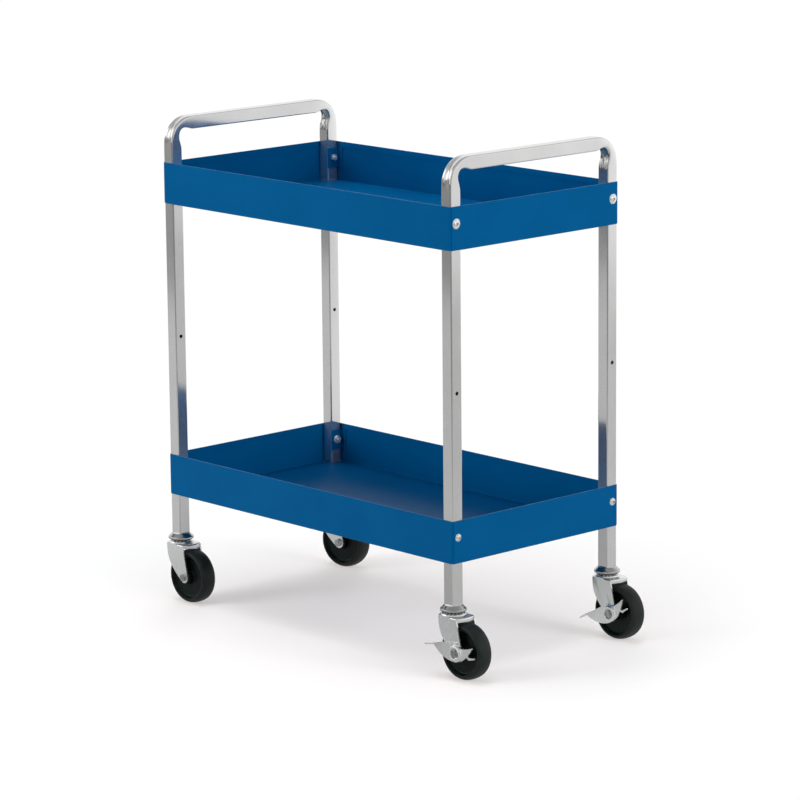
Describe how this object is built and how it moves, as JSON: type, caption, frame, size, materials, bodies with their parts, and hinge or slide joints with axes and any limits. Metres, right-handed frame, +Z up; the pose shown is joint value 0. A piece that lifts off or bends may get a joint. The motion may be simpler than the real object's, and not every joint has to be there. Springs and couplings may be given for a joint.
{
  "type": "utility cart",
  "caption": "Rolling utility cart with two deep sheet-metal trays held by two bent square-tube end frames, each with a handle, on swivel casters with foot brakes at one end.",
  "frame": {"origin": "bottom centre of the whole cart's bounding box at rest, on the floor between the four wheels", "axes": "+X along the cart towards the end with the braked casters, +Y across the cart, +Z up. Because every caster trails towards +X, the trays' centre is at x = -0.0278 m and y = 0.0044 m"},
  "size_m": [0.844, 0.4496, 0.9045],
  "materials": {
    "chrome_tube": "bright chrome plate",
    "blue_paint": "glossy blue powder coat",
    "plated_caster": "bright zinc plate",
    "plated_fasteners": "zinc plated",
    "wheel_black": "smooth hard rubber",
    "plug_rubber": "matt"
  },
  "bodies": {
    "cart": {"frame_rear": "chrome_tube", "frame_front": "chrome_tube", "tray_upper": "blue_paint", "tray_lower": "blue_paint", "brackets_upper": "blue_paint", "brackets_lower": "blue_paint", "screws_upper": "plated_fasteners", "screws_lower": "plated_fasteners", "nuts_upper": "plated_fasteners", "nuts_lower": "plated_fasteners", "plug_rl": "plug_rubber", "pin_rl": "plated_fasteners", "cover_rl": "plated_caster", "plug_rr": "plug_rubber", "pin_rr": "plated_fasteners", "cover_rr": "plated_caster", "plug_fl": "plug_rubber", "pin_fl": "plated_fasteners", "cover_fl": "plated_caster", "plug_fr": "plug_rubber", "pin_fr": "plated_fasteners", "cover_fr": "plated_caster"},
    "swivel_rl": {"balls_rl": "plated_fasteners", "yoke_rl": "plated_caster", "bolt_rl": "plated_fasteners", "nut_rl": "plated_fasteners", "sleeve_rl": "plated_fasteners", "lever_washer_rl": "plated_fasteners"},
    "wheel_body_rl": {"wheel_rl": "wheel_black"},
    "swivel_rr": {"balls_rr": "plated_fasteners", "yoke_rr": "plated_caster", "bolt_rr": "plated_fasteners", "nut_rr": "plated_fasteners", "sleeve_rr": "plated_fasteners", "lever_washer_rr": "plated_fasteners"},
    "wheel_body_rr": {"wheel_rr": "wheel_black"},
    "swivel_fl": {"balls_fl": "plated_fasteners", "yoke_fl": "plated_caster", "bolt_fl": "plated_fasteners", "nut_fl": "plated_fasteners", "sleeve_fl": "plated_fasteners"},
    "wheel_body_fl": {"wheel_fl": "wheel_black"},
    "swivel_fr": {"balls_fr": "plated_fasteners", "yoke_fr": "plated_caster", "bolt_fr": "plated_fasteners", "nut_fr": "plated_fasteners", "sleeve_fr": "plated_fasteners"},
    "wheel_body_fr": {"wheel_fr": "wheel_black"},
    "brake_rl": {"lever_rl": "plated_caster"},
    "brake_rr": {"lever_rr": "plated_caster"}
  },
  "joints": [
    {"name": "swivel_rl", "type": "hinge", "parent": "cart", "child": "swivel_rl", "pos_m": [0.33997, -0.18513, 0.1175], "axis": [0, 0, 1], "continuous": true},
    {"name": "spin_rl", "type": "hinge", "parent": "swivel_rl", "child": "wheel_body_rl", "pos_m": [0.37197, -0.18513, 0.05], "axis": [0, 1, 0], "continuous": true},
    {"name": "swivel_rr", "type": "hinge", "parent": "cart", "child": "swivel_rr", "pos_m": [0.33997, 0.19387, 0.1175], "axis": [0, 0, 1], "continuous": true},
    {"name": "spin_rr", "type": "hinge", "parent": "swivel_rr", "child": "wheel_body_rr", "pos_m": [0.37197, 0.19387, 0.05], "axis": [0, 1, 0], "continuous": true},
    {"name": "swivel_fl", "type": "hinge", "parent": "cart", "child": "swivel_fl", "pos_m": [-0.39563, -0.18513, 0.1175], "axis": [0, 0, 1], "continuous": true},
    {"name": "spin_fl", "type": "hinge", "parent": "swivel_fl", "child": "wheel_body_fl", "pos_m": [-0.36363, -0.18513, 0.05], "axis": [0, 1, 0], "continuous": true},
    {"name": "swivel_fr", "type": "hinge", "parent": "cart", "child": "swivel_fr", "pos_m": [-0.39563, 0.19387, 0.1175], "axis": [0, 0, 1], "continuous": true},
    {"name": "spin_fr", "type": "hinge", "parent": "swivel_fr", "child": "wheel_body_fr", "pos_m": [-0.36394, 0.19833, 0.05], "axis": [-0.1392, 0.9903, 0], "continuous": true},
    {"name": "brake_rl", "type": "hinge", "parent": "swivel_rl", "child": "brake_rl", "pos_m": [0.37197, -0.18513, 0.05], "axis": [0, -1, 0], "range_deg": [0, 23]},
    {"name": "brake_rr", "type": "hinge", "parent": "swivel_rr", "child": "brake_rr", "pos_m": [0.37197, 0.19387, 0.05], "axis": [0, -1, 0], "range_deg": [-23, 0]}
  ]
}
